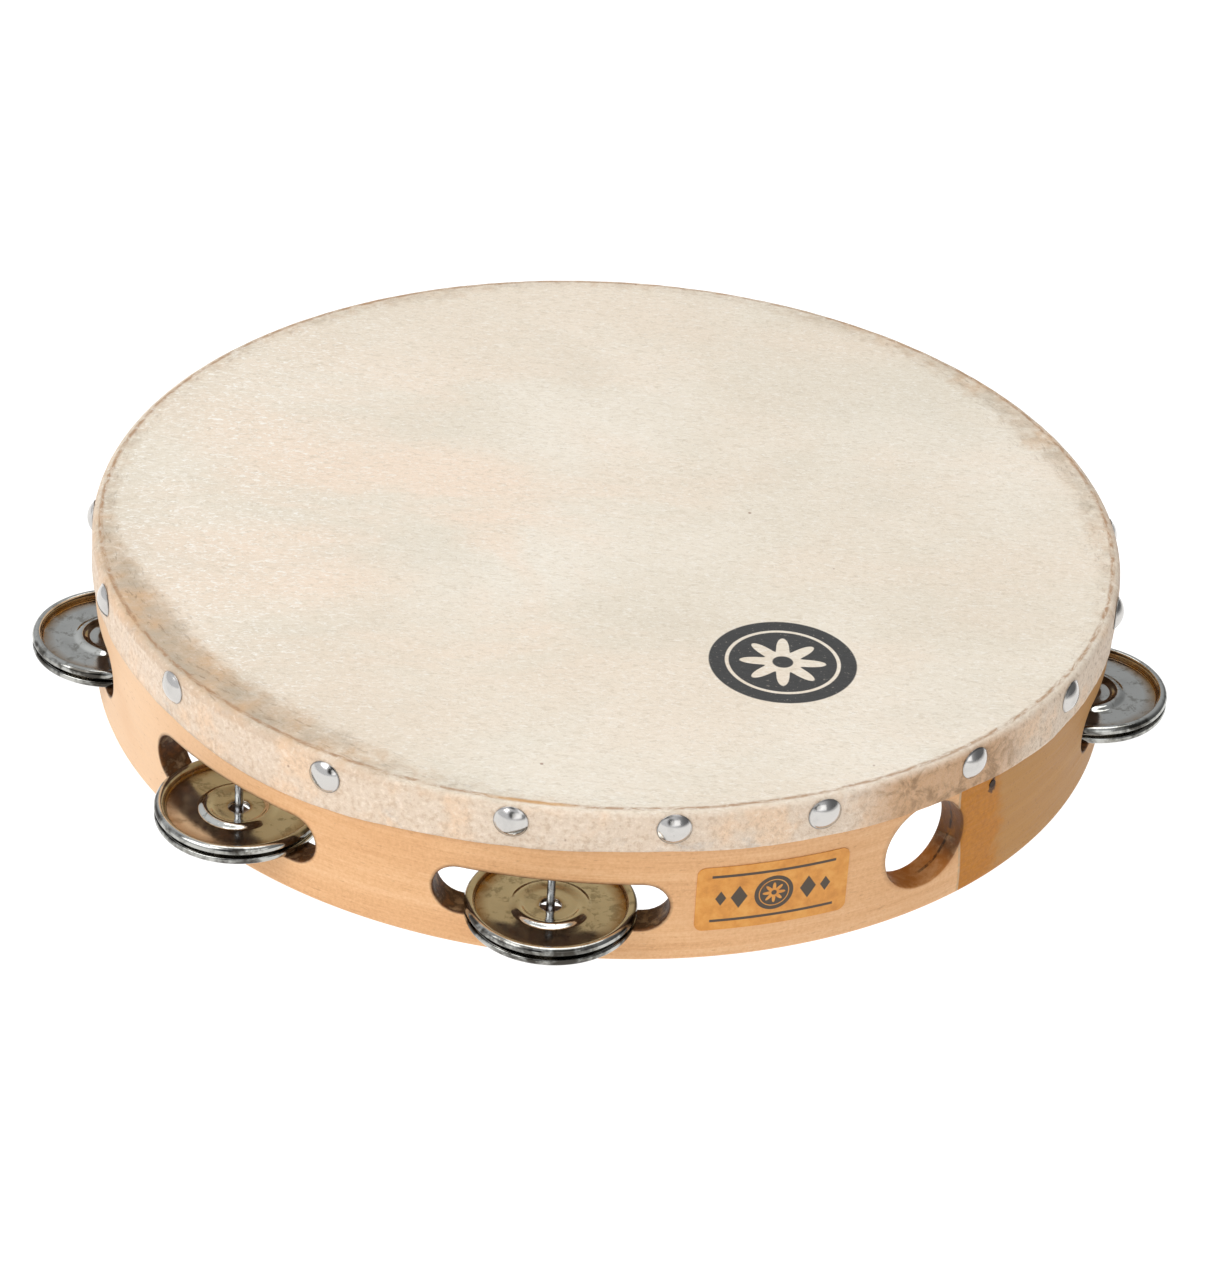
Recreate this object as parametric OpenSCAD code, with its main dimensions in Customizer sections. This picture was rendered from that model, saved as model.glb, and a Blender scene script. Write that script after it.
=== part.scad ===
// Headed tambourine: a bent wooden hoop, a tacked skin head and eight pairs of loose jingles.
// The hoop is one bent strip. It is drawn as nine sections that meet face to face, one for each
// jingle slot and one for the thumb hole, so that every opening keeps its own simple solid.
// Origin: on the hoop's axis, on the plane that the hoop stands on. +Z is up and -Y is the front.
// Every angle goes round the hoop in degrees from the front, towards +X.

/* [Hoop] */
// Outer diameter of the wooden hoop
hoop_d = 253; // [240:1:270]
// Height of the wooden hoop, without the skin
hoop_h = 40.75; // [39:0.25:46]
// Thickness of the hoop's wall
hoop_wall = 8; // [7:0.5:9]
// Rounding of the hoop's upper outer edge, where the skin folds over
fold_r = 1.6; // [0.5:0.1:2]

/* [Slots and thumb hole] */
// Width of a jingle slot, end to end
slot_w = 54; // [50:0.5:58]
// Height of a jingle slot
slot_h = 12.4; // [11:0.1:13]
// Height of a slot's centre above the stand plane
slot_z = 14.9; // [13:0.1:16]
// Diameter of the thumb hole
thumb_d = 23; // [20:0.5:24]
// Height of the thumb hole's centre
thumb_z = 18.6; // [16:0.1:21]
// Angle of the thumb hole
thumb_az = 37.8; // [36:0.1:40]

/* [Head] */
// Thickness of the skin
skin_t = 0.45; // [0.3:0.05:0.6]
// Length of the flap that comes down over the hoop, which ends just above the thumb hole
flap_h = 10.9; // [8:0.1:11]

/* [Tacks] */
// Diameter of a tack's domed head
tack_d = 8.2; // [6:0.1:9]
// Height of a tack's dome
tack_dome = 1.9; // [1.2:0.1:2.4]
// Distance from the head's surface down to the row of tacks
tack_drop = 4.6; // [4:0.1:6]
// Length of a tack's shank
tack_len = 7; // [5:0.5:7]

/* [Jingles] */
// Outer diameter of a jingle
jingle_d = 39.5; // [36:0.5:40]
// Overall height of one jingle
jingle_h = 2.3; // [2:0.1:2.6]
// Thickness of the jingle's sheet metal
sheet_t = 0.5; // [0.4:0.05:0.6]
// Diameter of the hole in a jingle's centre
jingle_hole_d = 5.5; // [4:0.1:6]
// Height of the stamped ring round the hole
boss_h = 0.8; // [0.4:0.1:0.9]
// Diameter of the pin that a pair of jingles hangs on
pin_d = 2; // [1.6:0.1:2.4]

/* [Label] */
// Width of the label, along the hoop
label_w = 36.6; // [30:0.1:38]
// Height of the label
label_h = 17.4; // [14:0.1:18]
// Angle of the label's middle
label_az = 19.6; // [19:0.1:20]

/* [Hidden] */
$fn = 96;
STATIONS = [1, 2, 3, 4, 5, 6, 7, 8];

// Angle of each pair of jingles, going round from the front by the left: nine places about
// 40 degrees apart, of which the thumb hole takes the last
station_az = [-3.7, -42, -80, -120, -160, -200, -240, -279.5];
place_az = concat(station_az, [thumb_az - 360]);
// Angle of each tack, set by hand about 19 degrees apart, and how far above its row it sits
tack_az = [-88, -69.6, -50.9, -28.4, -8, 8.5, 24.4, 43.4, 61.1, 79.5,
           97, 117, 136, 155, 174, -168, -149, -130, -111];
tack_rise = [-1, 0, 0, -0.7, 0, 0.4, 0, 0.4, 0, 0, -1, -1, -1, -1, -1, -1, -1, -1, -1];

gap = 0.1;                          // space between flat faces that rest on each other
skin_gap = 0.05;                    // space between the skin and the wood
bore_gap = 0.05;                    // running clearance round a pin
hoop_r = hoop_d / 2;
skin_r = hoop_r + skin_gap + skin_t;
top_z = hoop_h + skin_gap + skin_t; // the head's surface
edge_bevel = 0.7;
slot_floor = slot_z - slot_h / 2;
pin_r_pos = hoop_r - hoop_wall / 2; // pins stand in the middle of the wall
pin_head_d = 4.2;
pin_head_h = 0.8;
pin_recess = 0.4;                   // a pin's head lies this far inside the hoop's lower edge
pin_top = slot_z + slot_h / 2 + 12;
pin_tip_room = 0.4;                 // the bore goes this much deeper than the pin
overrun = 1;                        // how far a cutting shape stands outside what it cuts
lower_z = slot_floor + gap;         // lowest point of a pair
upper_z = lower_z + jingle_h + gap; // underside of the upper jingle
brad_az = 47;
brad_z = 27.4;
brad_d = 2;
brad_len = 6.5;
brad_proud = 0.2;                   // the brad's end stands this far out of the wood
tack_shank_d = 1.3;
tack_tip_d = 0.3;
label_t = 0.15;
label_z = 16.7;
label_corner = 2;

// Places its children at an angle round the hoop, at a height, seen from the outside
module around(az, z = 0) rotate([0, 0, az]) translate([0, 0, z]) children();

// A round-ended bar of height h that runs through the wall, for slots
module stadium(w, h) {
    linear_extrude(hoop_r, convexity = 4) {
        square([w - h, h], center = true);
        for (side = [-1, 1]) translate([side * (w - h) / 2, 0]) circle(d = h);
    }
}

// A rounded rectangle
module rounded_plate(w, h, r) {
    square([w - 2 * r, h], center = true);
    square([w, h - 2 * r], center = true);
    for (x = [-1, 1], y = [-1, 1]) translate([x * (w / 2 - r), y * (h / 2 - r)]) circle(r);
}

// Points of an arc about [cx, cy] from angle a to angle b
function arc(cx, cy, r, a, b, steps) =
    [for (i = [0:steps]) let (t = a + (b - a) * i / steps) [cx + r * cos(t), cy + r * sin(t)]];

// The outline of a sheet of thickness t whose middle line is the list p
function unit(v) = v / norm(v);
function side_of(p, i) =
    let (d = unit(p[min(i + 1, len(p) - 1)] - p[max(i - 1, 0)])) [-d[1], d[0]];
function sheet(p, t) = concat(
    [for (i = [0:len(p) - 1]) p[i] + side_of(p, i) * t / 2],
    [for (i = [len(p) - 1:-1:0]) p[i] - side_of(p, i) * t / 2]);

// Angle of the joint face between place i and the next one, counted from 0
function seam_az(i) = i < 0 ? seam_az(len(place_az) - 1) + 360
    : i == len(place_az) - 1 ? (place_az[i] + place_az[0] - 360) / 2
    : (place_az[i] + place_az[i + 1]) / 2;

// Plain stretch of the hoop for place i, with bevelled and rounded edges
module hoop_stretch(i) rotate([0, 0, seam_az(i) - 90])
    rotate_extrude(angle = seam_az(i - 1) - seam_az(i)) polygon(concat(
        [[hoop_r - hoop_wall, edge_bevel], [hoop_r - hoop_wall + edge_bevel, 0],
         [hoop_r - edge_bevel, 0], [hoop_r, edge_bevel]],
        arc(hoop_r - fold_r, hoop_h - fold_r, fold_r, 0, 90, 6),
        [[hoop_r - hoop_wall + edge_bevel, hoop_h], [hoop_r - hoop_wall, hoop_h - edge_bevel]]));

// Section of the hoop with jingle slot i and the bore and recess for its pin
module hoop_section(i) color("burlywood") difference() {
    hoop_stretch(i - 1);
    around(station_az[i - 1]) {
        translate([0, -hoop_r / 2, slot_z]) rotate([90, 0, 0]) stadium(slot_w, slot_h);
        translate([0, -pin_r_pos, -overrun]) {
            cylinder(h = overrun + pin_top + pin_tip_room, d = pin_d + 2 * bore_gap, $fn = 48);
            cylinder(h = overrun + pin_recess + pin_head_h + bore_gap, d = pin_head_d + 2 * bore_gap,
                     $fn = 48);
        }
    }
}

// Section of the hoop with the thumb hole
module hoop_thumb_section() color("burlywood") difference() {
    hoop_stretch(len(place_az) - 1);
    around(thumb_az, thumb_z) translate([0, -hoop_r / 2, 0]) rotate([90, 0, 0])
        cylinder(h = hoop_r, d = thumb_d);
}

// Skin head: flat over the top, folded down over the hoop as a flap
module head_skin() color("antiquewhite") {
    flap_z = top_z - flap_h;
    outer = fold_r + skin_gap + skin_t;
    inner = fold_r + skin_gap;
    rotate_extrude() polygon(concat(
        [[0, top_z]],
        arc(skin_r - outer, top_z - outer, outer, 90, 0, 8),
        [[skin_r, flap_z], [skin_r - skin_t, flap_z]],
        arc(skin_r - outer, top_z - outer, inner, 0, 90, 8),
        [[0, top_z - skin_t]]));
}

// One domed tack, its head on the flap and its shank in the wood
module tack() {
    dome_r = (tack_d * tack_d / 4 + tack_dome * tack_dome) / (2 * tack_dome);
    reach = asin(tack_d / 2 / dome_r);
    rotate_extrude($fn = 48) polygon(concat(
        [[0, 0]], arc(0, tack_dome - dome_r, dome_r, 90 - reach, 90, 8)));
    translate([0, 0, -tack_len]) cylinder(h = tack_len, d1 = tack_tip_d, d2 = tack_shank_d, $fn = 24);
}

// Row of tacks that holds the skin
module tacks() color("gainsboro") for (i = [0:len(tack_az) - 1])
    around(tack_az[i], top_z - tack_drop + tack_rise[i])
        translate([0, -skin_r - skin_gap, 0]) rotate([90, 0, 0]) tack();

// Brad that pins the hoop's lap joint
module lap_brad() color("dimgray") around(brad_az, brad_z)
    translate([0, brad_len - hoop_r, 0]) rotate([90, 0, 0])
        cylinder(h = brad_len + brad_proud, d = brad_d, $fn = 32);

// Printed label stuck on the front of the hoop
module hoop_label() color("goldenrod") intersection() {
    rotate_extrude() translate([hoop_r + skin_gap, 0]) square([label_t, hoop_h]);
    around(label_az, label_z) translate([0, -hoop_r / 2, 0]) rotate([90, 0, 0])
        linear_extrude(hoop_r) rounded_plate(label_w, label_h, label_corner);
}

// Pin of a station: a nail through the slot, its head let into the hoop's lower edge
module pin(i) color("silver") around(station_az[i - 1]) translate([0, -pin_r_pos, pin_recess]) {
    cylinder(h = pin_top - pin_recess, d = pin_d, $fn = 48);
    cylinder(h = pin_head_h, d = pin_head_d, $fn = 48);
}

// One stamped jingle, cup up, its floor's underside at z = 0
module jingle() {
    floor_z = sheet_t / 2;
    lip_r = 0.95;
    lip_z = jingle_h - sheet_t / 2 - lip_r;
    lip_pos = jingle_d / 2 - sheet_t / 2 - lip_r;
    corner_r = 0.85;
    corner_pos = lip_pos - lip_r - corner_r;
    boss_in = 5.6;
    boss_out = 9.8;
    boss = [for (u = [0:0.1:1])
        [boss_in + (boss_out - boss_in) * u, floor_z + boss_h * (1 - cos(360 * u)) / 2]];
    rotate_extrude() polygon(sheet(concat(
        [[jingle_hole_d / 2, floor_z]], boss,
        arc(corner_pos, floor_z + corner_r, corner_r, -90, -6, 6),
        arc(lip_pos, lip_z, lip_r, 172, -25, 12)), sheet_t));
}

// Lower jingle of a pair, cup down
module lower_jingle(i) color("darkgray") around(station_az[i - 1], lower_z + jingle_h)
    translate([0, -pin_r_pos, 0]) mirror([0, 0, 1]) jingle();

// Upper jingle of a pair, cup up, back to back with the lower one
module upper_jingle(i) color("lightgray") around(station_az[i - 1], upper_z)
    translate([0, -pin_r_pos, 0]) jingle();

hoop_thumb_section();
head_skin();
tacks();
lap_brad();
hoop_label();
for (i = STATIONS) {
    hoop_section(i);
    pin(i);
    lower_jingle(i);
    upper_jingle(i);
}
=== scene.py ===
"""Looks of a headed tambourine: hoop, skin head, tacks, label and jingles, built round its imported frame.

Metres throughout. The hoop's axis is Z and the front is -Y. Angles go round the hoop from the front
towards +X.
"""
import math
import bmesh
import bpy
from mathutils import Matrix, Vector, noise


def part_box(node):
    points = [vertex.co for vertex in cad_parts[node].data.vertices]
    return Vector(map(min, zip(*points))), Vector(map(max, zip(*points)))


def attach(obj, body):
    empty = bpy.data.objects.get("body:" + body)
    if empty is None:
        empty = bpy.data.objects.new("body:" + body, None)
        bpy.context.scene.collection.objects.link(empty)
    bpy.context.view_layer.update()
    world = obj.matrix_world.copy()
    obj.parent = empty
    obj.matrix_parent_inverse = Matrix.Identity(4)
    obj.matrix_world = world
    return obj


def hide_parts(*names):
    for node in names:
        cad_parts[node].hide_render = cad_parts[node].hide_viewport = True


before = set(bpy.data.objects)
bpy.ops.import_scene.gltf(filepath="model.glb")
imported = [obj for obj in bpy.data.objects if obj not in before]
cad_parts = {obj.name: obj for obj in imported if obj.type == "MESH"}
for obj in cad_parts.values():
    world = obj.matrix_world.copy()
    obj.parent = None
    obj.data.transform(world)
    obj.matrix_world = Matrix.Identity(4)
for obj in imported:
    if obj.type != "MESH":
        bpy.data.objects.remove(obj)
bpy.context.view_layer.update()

# ---------------------------------------------------------------- sizes, from the frame and from the design
MM = 0.001
STATIONS = range(1, 9)
HOOP_NODES = [f"hoop_section_{i}" for i in STATIONS] + ["hoop_thumb_section"]
HOOP_R = max(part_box(node)[1].x for node in HOOP_NODES)
HOOP_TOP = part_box(HOOP_NODES[0])[1].z
WALL = 8.0 * MM
HOOP_IN = HOOP_R - WALL
SKIN_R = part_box("head_skin")[1].x
TOP_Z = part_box("head_skin")[1].z
FLAP_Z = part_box("head_skin")[0].z
SKIN_T = 0.45 * MM
FOLD_R = 1.6 * MM
SLOT_W, SLOT_H, SLOT_Z = 54.0 * MM, 12.4 * MM, 14.9 * MM
THUMB_AZ, THUMB_Z, THUMB_R = math.radians(37.8), 18.6 * MM, 11.5 * MM
PIN_HOLE_R = 2.75 * MM                # hole in a jingle's centre
PRINT_X, PRINT_Y, PRINT_R = 43 * MM, -61 * MM, 17.6 * MM
TACK_Z = TOP_Z - 4.6 * MM
TACK_AZ = [math.radians(a) for a in (-88, -69.6, -50.9, -28.4, -8, 8.5, 24.4, 43.4, 61.1, 79.5,
                                     97, 117, 136, 155, 174, -168, -149, -130, -111)]
# how far each tack sits above its row, in millimetres
TACK_RISE = (-1, 0, 0, -0.7, 0, 0.4, 0, 0.4, 0, 0, -1, -1, -1, -1, -1, -1, -1, -1, -1)
TACK_R = 4.1 * MM
TACK_DOME = 1.9 * MM


def centre_of(node):
    low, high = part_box(node)
    return (low + high) / 2


def azimuth_of(point):
    return math.atan2(point.x, -point.y)


STATION_AZ = [azimuth_of(centre_of(f"pin_{i}")) for i in STATIONS]
BRAD_AZ = math.degrees(azimuth_of(centre_of("lap_brad")))
BRAD_Z = centre_of("lap_brad").z
LAP_TOP_DEG = 42.1                    # where the lap's glued line meets the flap


def on_hoop(az, r, z):
    """The point at an angle round the hoop, a distance from its axis and a height."""
    return Vector((r * math.sin(az), -r * math.cos(az), z))


def smooth(x):
    x = min(max(x, 0.0), 1.0)
    return x * x * (3 - 2 * x)


def wobble(point, scale, seed=0.0):
    """Smooth noise from -1 to 1 at a point, features about 1/scale metres across."""
    return noise.noise(point * scale + Vector((seed, seed * 1.7, -seed)))


def around(value):
    """An angle brought into -pi to pi."""
    return (value + math.pi) % (2 * math.pi) - math.pi


# ---------------------------------------------------------------- mesh helpers
def make_object(name, verts, faces, body, material, replaces):
    mesh = bpy.data.meshes.new(name)
    mesh.from_pydata([tuple(v) for v in verts], [], faces)
    mesh.validate()
    mesh.polygons.foreach_set("use_smooth", [True] * len(mesh.polygons))
    mesh.update()
    obj = bpy.data.objects.new(name, mesh)
    bpy.context.scene.collection.objects.link(obj)
    obj.data.materials.append(material)
    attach(obj, body)
    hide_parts(*replaces)
    return obj


def ring_faces(rows, count, close_rows=False):
    """Quads between rows of count points that each go all the way round."""
    faces = []
    for k in range(rows if close_rows else rows - 1):
        a, b = k * count, ((k + 1) % rows) * count
        for j in range(count):
            n = (j + 1) % count
            faces.append((a + j, a + n, b + n, b + j))
    return faces


def weld(obj):
    """Joins coincident points and turns the faces outwards."""
    bm = bmesh.new()
    bm.from_mesh(obj.data)
    bmesh.ops.remove_doubles(bm, verts=bm.verts, dist=1e-6)
    bmesh.ops.recalc_face_normals(bm, faces=bm.faces)
    bm.to_mesh(obj.data)
    bm.free()


def paint(obj, name, values):
    """Stores one number per vertex, which a material reads with an Attribute node."""
    layer = obj.data.attributes.new(name, "FLOAT", "POINT")
    layer.data.foreach_set("value", values)


# ---------------------------------------------------------------- material helper
class Mat:
    """One material's node tree, with short calls for the nodes it uses."""

    def __init__(self, name, **settings):
        self.material = bpy.data.materials.new(name)
        self.material.use_nodes = True
        self.tree = self.material.node_tree
        self.shader = self.tree.nodes["Principled BSDF"]
        for key, value in settings.items():
            self.shader.inputs[key.replace("_", " ")].default_value = value

    def node(self, kind, **settings):
        made = self.tree.nodes.new("ShaderNode" + kind)
        for key, value in settings.items():
            setattr(made, key, value)
        return made

    def feed(self, socket, value):
        if isinstance(value, bpy.types.NodeSocket):
            self.tree.links.new(value, socket)
        else:
            socket.default_value = value

    def math(self, operation, a, b=0.0, c=0.0, clamp=False):
        made = self.node("Math", operation=operation, use_clamp=clamp)
        for socket, value in zip(made.inputs, (a, b, c)):
            self.feed(socket, value)
        return made.outputs[0]

    def position(self):
        return self.node("TexCoord").outputs["Object"]

    def split(self, vector=None):
        made = self.node("SeparateXYZ")
        self.feed(made.inputs[0], vector or self.position())
        return made.outputs

    def join(self, x, y, z):
        made = self.node("CombineXYZ")
        for socket, value in zip(made.inputs, (x, y, z)):
            self.feed(socket, value)
        return made.outputs[0]

    def add(self, a, b):
        return self.math("ADD", a, b)

    def minus(self, a, b):
        return self.math("SUBTRACT", a, b)

    def times(self, a, b, clamp=False):
        return self.math("MULTIPLY", a, b, clamp=clamp)

    def length(self, x, y):
        return self.math("SQRT", self.add(self.times(x, x), self.times(y, y)))

    def turn(self):
        """The angle round the hoop, in degrees from the front, and the distance from its axis."""
        x, y, _ = self.split()
        angle = self.math("ARCTAN2", x, self.times(y, -1.0))
        return self.math("DEGREES", angle), self.length(x, y)

    def along_rim(self, across, along, seed=0.0):
        """A vector for noise drawn out along the rim: features per metre across the rim and along it."""
        x, y, z = self.split()
        _, r = self.turn()
        reach = self.add(self.times(self.minus(r, HOOP_R), across), along * HOOP_R)
        pull = self.math("DIVIDE", reach, r)
        return self.join(self.add(self.times(x, pull), seed), self.times(y, pull), self.times(z, across))

    def attribute(self, name):
        return self.node("Attribute", attribute_name=name).outputs["Fac"]

    def mapped(self, scale=(1, 1, 1), location=(0, 0, 0), rotation=(0, 0, 0), vector=None):
        made = self.node("Mapping")
        self.feed(made.inputs["Vector"], vector or self.position())
        made.inputs["Scale"].default_value = scale
        made.inputs["Location"].default_value = location
        made.inputs["Rotation"].default_value = rotation
        return made.outputs[0]

    def noise(self, vector, scale, detail=4.0, rough=0.55, distortion=0.0):
        made = self.node("TexNoise")
        self.feed(made.inputs["Vector"], vector)
        made.inputs["Scale"].default_value = scale
        made.inputs["Detail"].default_value = detail
        made.inputs["Roughness"].default_value = rough
        made.inputs["Distortion"].default_value = distortion
        return made.outputs["Fac"]

    def cells(self, vector, scale, feature="F1"):
        made = self.node("TexVoronoi", feature=feature)
        self.feed(made.inputs["Vector"], vector)
        made.inputs["Scale"].default_value = scale
        return made.outputs["Distance"]

    def band(self, value, low, high, out_low=0.0, out_high=1.0):
        """value from low to high, eased, as out_low to out_high."""
        made = self.node("MapRange", interpolation_type="SMOOTHSTEP")
        for socket, v in zip(made.inputs, (value, low, high, out_low, out_high)):
            self.feed(socket, v)
        return made.outputs[0]

    def ramp(self, value, *stops):
        """stops are (position, colour)."""
        made = self.node("ValToRGB")
        self.feed(made.inputs[0], value)
        elements = made.color_ramp.elements
        while len(elements) < len(stops):
            elements.new(0.5)
        for element, (place, tint) in zip(elements, stops):
            element.position = place
            element.color = colour(tint)
        return made.outputs[0]

    def mix(self, amount, a, b, blend="MIX"):
        made = self.node("Mix", data_type="RGBA", blend_type=blend)
        made.clamp_result = True
        self.feed(made.inputs[0], amount)
        self.feed(made.inputs[6], colour(a))
        self.feed(made.inputs[7], colour(b))
        return made.outputs[2]

    def bump(self, height, distance, strength=1.0, under=None):
        made = self.node("Bump")
        self.feed(made.inputs["Height"], height)
        made.inputs["Distance"].default_value = distance
        made.inputs["Strength"].default_value = strength
        if under is not None:
            self.feed(made.inputs["Normal"], under)
        return made.outputs[0]

    def finish(self, base=None, rough=None, normal=None):
        for key, value in (("Base Color", base), ("Roughness", rough), ("Normal", normal)):
            if value is not None:
                self.feed(self.shader.inputs[key], value)
        return self.material


def linear(c):
    return c / 12.92 if c <= 0.04045 else ((c + 0.055) / 1.055) ** 2.4


def colour(value):
    """A colour given as 0 to 255 steps, as the linear colour that nodes use."""
    if isinstance(value, bpy.types.NodeSocket):
        return value
    return tuple(linear(c / 255) for c in value) + (1.0,)


# ---------------------------------------------------------------- materials
def wood():
    """Bent hoop wood: fine grain along the hoop, edge grain on its rims, the lap and the scorched cuts."""
    m = Mat("hoop_wood", Roughness=0.5, Specular_IOR_Level=0.3)
    x, y, z = m.split()
    deg, r = m.turn()
    layer = m.add(z, r)
    fine = m.noise(m.join(m.times(x, 70), m.times(y, 70), m.times(layer, 2400)), 1.0, 5, 0.65)
    band = m.noise(m.join(m.times(x, 12), m.times(y, 12), m.times(layer, 200)), 1.0, 3, 0.5, 0.8)
    cloud = m.noise(m.join(m.times(x, 24), m.times(y, 24), m.times(layer, 60)), 1.0, 3, 0.5)
    fleck = m.noise(m.join(m.times(x, 420), m.times(y, 420), m.times(layer, 2000)), 1.0, 3, 0.6)
    dust = m.noise(m.mapped(), 1300.0, 3, 0.7)
    tone = m.add(m.add(m.times(band, 0.32), m.times(fine, 0.33)), m.times(dust, 0.35))
    base = m.ramp(tone, (0.36, (208, 154, 104)), (0.5, (226, 175, 125)), (0.64, (236, 191, 144)))
    # painted light: the wood is made lighter and paler towards the front left, where the key light falls
    base = m.mix(m.band(deg, -30.0, -62.0, 0.0, 0.75), base, (236, 201, 164))
    base = m.mix(m.band(cloud, 0.42, 0.7, 0.0, 0.3), base, (214, 160, 108))
    base = m.mix(m.band(fleck, 0.6, 0.74, 0.0, 0.4), base, (166, 114, 70))
    # the lap: one end of the strip stops in a slanted glued line; the wood past it is darker and more orange
    # all round the right side, and amber with glue just past the line
    past = m.minus(deg, m.band(z, 2.7 * MM, 29.8 * MM, 43.3, LAP_TOP_DEG))
    ragged = m.times(m.minus(m.noise(m.mapped((1, 1, 1)), 160.0, 4, 0.6), 0.5), 7.0)
    tan_side = m.times(m.band(past, 0.0, 0.2), m.band(past, 100.0, 80.0))
    base = m.mix(m.times(tan_side, 0.9), base, m.mix(tone, (158, 103, 38), (200, 149, 74)))
    base = m.mix(m.times(tan_side, m.band(dust, 0.56, 0.68, 0.0, 0.5)), base, (142, 92, 46))
    amber = m.times(m.band(past, 0.0, 0.15), m.band(m.add(past, ragged), 7.8, 5.0))
    crust = m.noise(m.mapped(location=(2, 2, 2)), 900.0, 4, 0.7)
    base = m.mix(m.times(amber, 0.95), base, m.mix(crust, (150, 82, 4), (216, 142, 24)))
    line = m.times(m.band(past, -0.3, -0.14), m.band(past, 0.12, 0.02))
    glue = m.noise(m.mapped(), 520.0, 3, 0.6)
    base = m.mix(m.times(line, m.band(glue, 0.3, 0.6, 0.15, 0.8)), base, (186, 160, 126))
    gouge_x = m.math("DIVIDE", m.times(m.minus(deg, BRAD_AZ + 0.1), math.radians(1) * HOOP_R), 1.3 * MM)
    gouge_z = m.math("DIVIDE", m.minus(z, BRAD_Z - 0.6 * MM), 2.6 * MM)
    gouge = m.add(m.length(gouge_x, gouge_z), m.times(m.minus(crust, 0.5), 1.6))
    base = m.mix(m.band(gouge, 1.0, 0.7, 0.0, 0.9), base, (62, 38, 20))
    # cuts: scorched dark by the tool that made them, with a black glue line inside the thumb hole
    scorch = m.noise(m.mapped(), 330.0, 4, 0.62)
    burn = m.times(m.attribute("burn"), m.band(scorch, 0.25, 0.7, 0.6, 1.3), clamp=True)
    # painted light: the upward-facing lower wall of the thumb hole is painted a lighter orange-brown than the
    # scorch round it
    low_wall = m.times(m.band(z, 13.0 * MM, 9.0 * MM), m.band(deg, 30.0, 32.0))
    burnt = m.ramp(scorch, (0.32, (40, 25, 12)), (0.5, (76, 46, 22)), (0.7, (128, 80, 38)))
    burnt = m.mix(m.times(low_wall, m.band(deg, 50.0, 48.0)), burnt, (178, 112, 50))
    base = m.mix(burn, base, burnt)
    seam = m.times(m.band(m.math("ABSOLUTE", m.minus(r, HOOP_R - 4.2 * MM)), 0.5 * MM, 0.25 * MM),
                   m.times(m.attribute("burn"), m.band(deg, 38.0, 40.0)))
    seam = m.times(seam, m.band(deg, 45.0, 44.0))
    base = m.mix(m.times(seam, m.band(glue, 0.3, 0.55)), base, (30, 24, 18))
    rough = m.band(fine, 0.3, 0.7, 0.42, 0.6)
    height = m.add(m.add(fine, m.times(fleck, -0.4)), m.times(line, 1.5))
    return m.finish(base, rough, m.bump(height, 0.00012, 0.6))


def rosette_mask(m, x, y, radius):
    """Inked part of a plain round mark: a disc with an eight-petalled rosette and a thin ring left bare."""
    dist = m.math("DIVIDE", m.length(x, y), radius)
    turn = m.math("ARCTAN2", y, x)
    petal = m.add(0.42, m.times(m.math("COSINE", m.times(turn, 8.0)), 0.16))
    inside = m.band(m.minus(petal, dist), -0.012, 0.012)
    core = m.band(dist, 0.13, 0.15)
    ring = m.times(m.band(dist, 0.72, 0.735), m.band(dist, 0.785, 0.77))
    bare = m.math("MAXIMUM", m.times(inside, core), ring)
    disc = m.band(dist, 1.005, 0.985)
    return m.times(disc, m.minus(1.0, bare))


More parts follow.
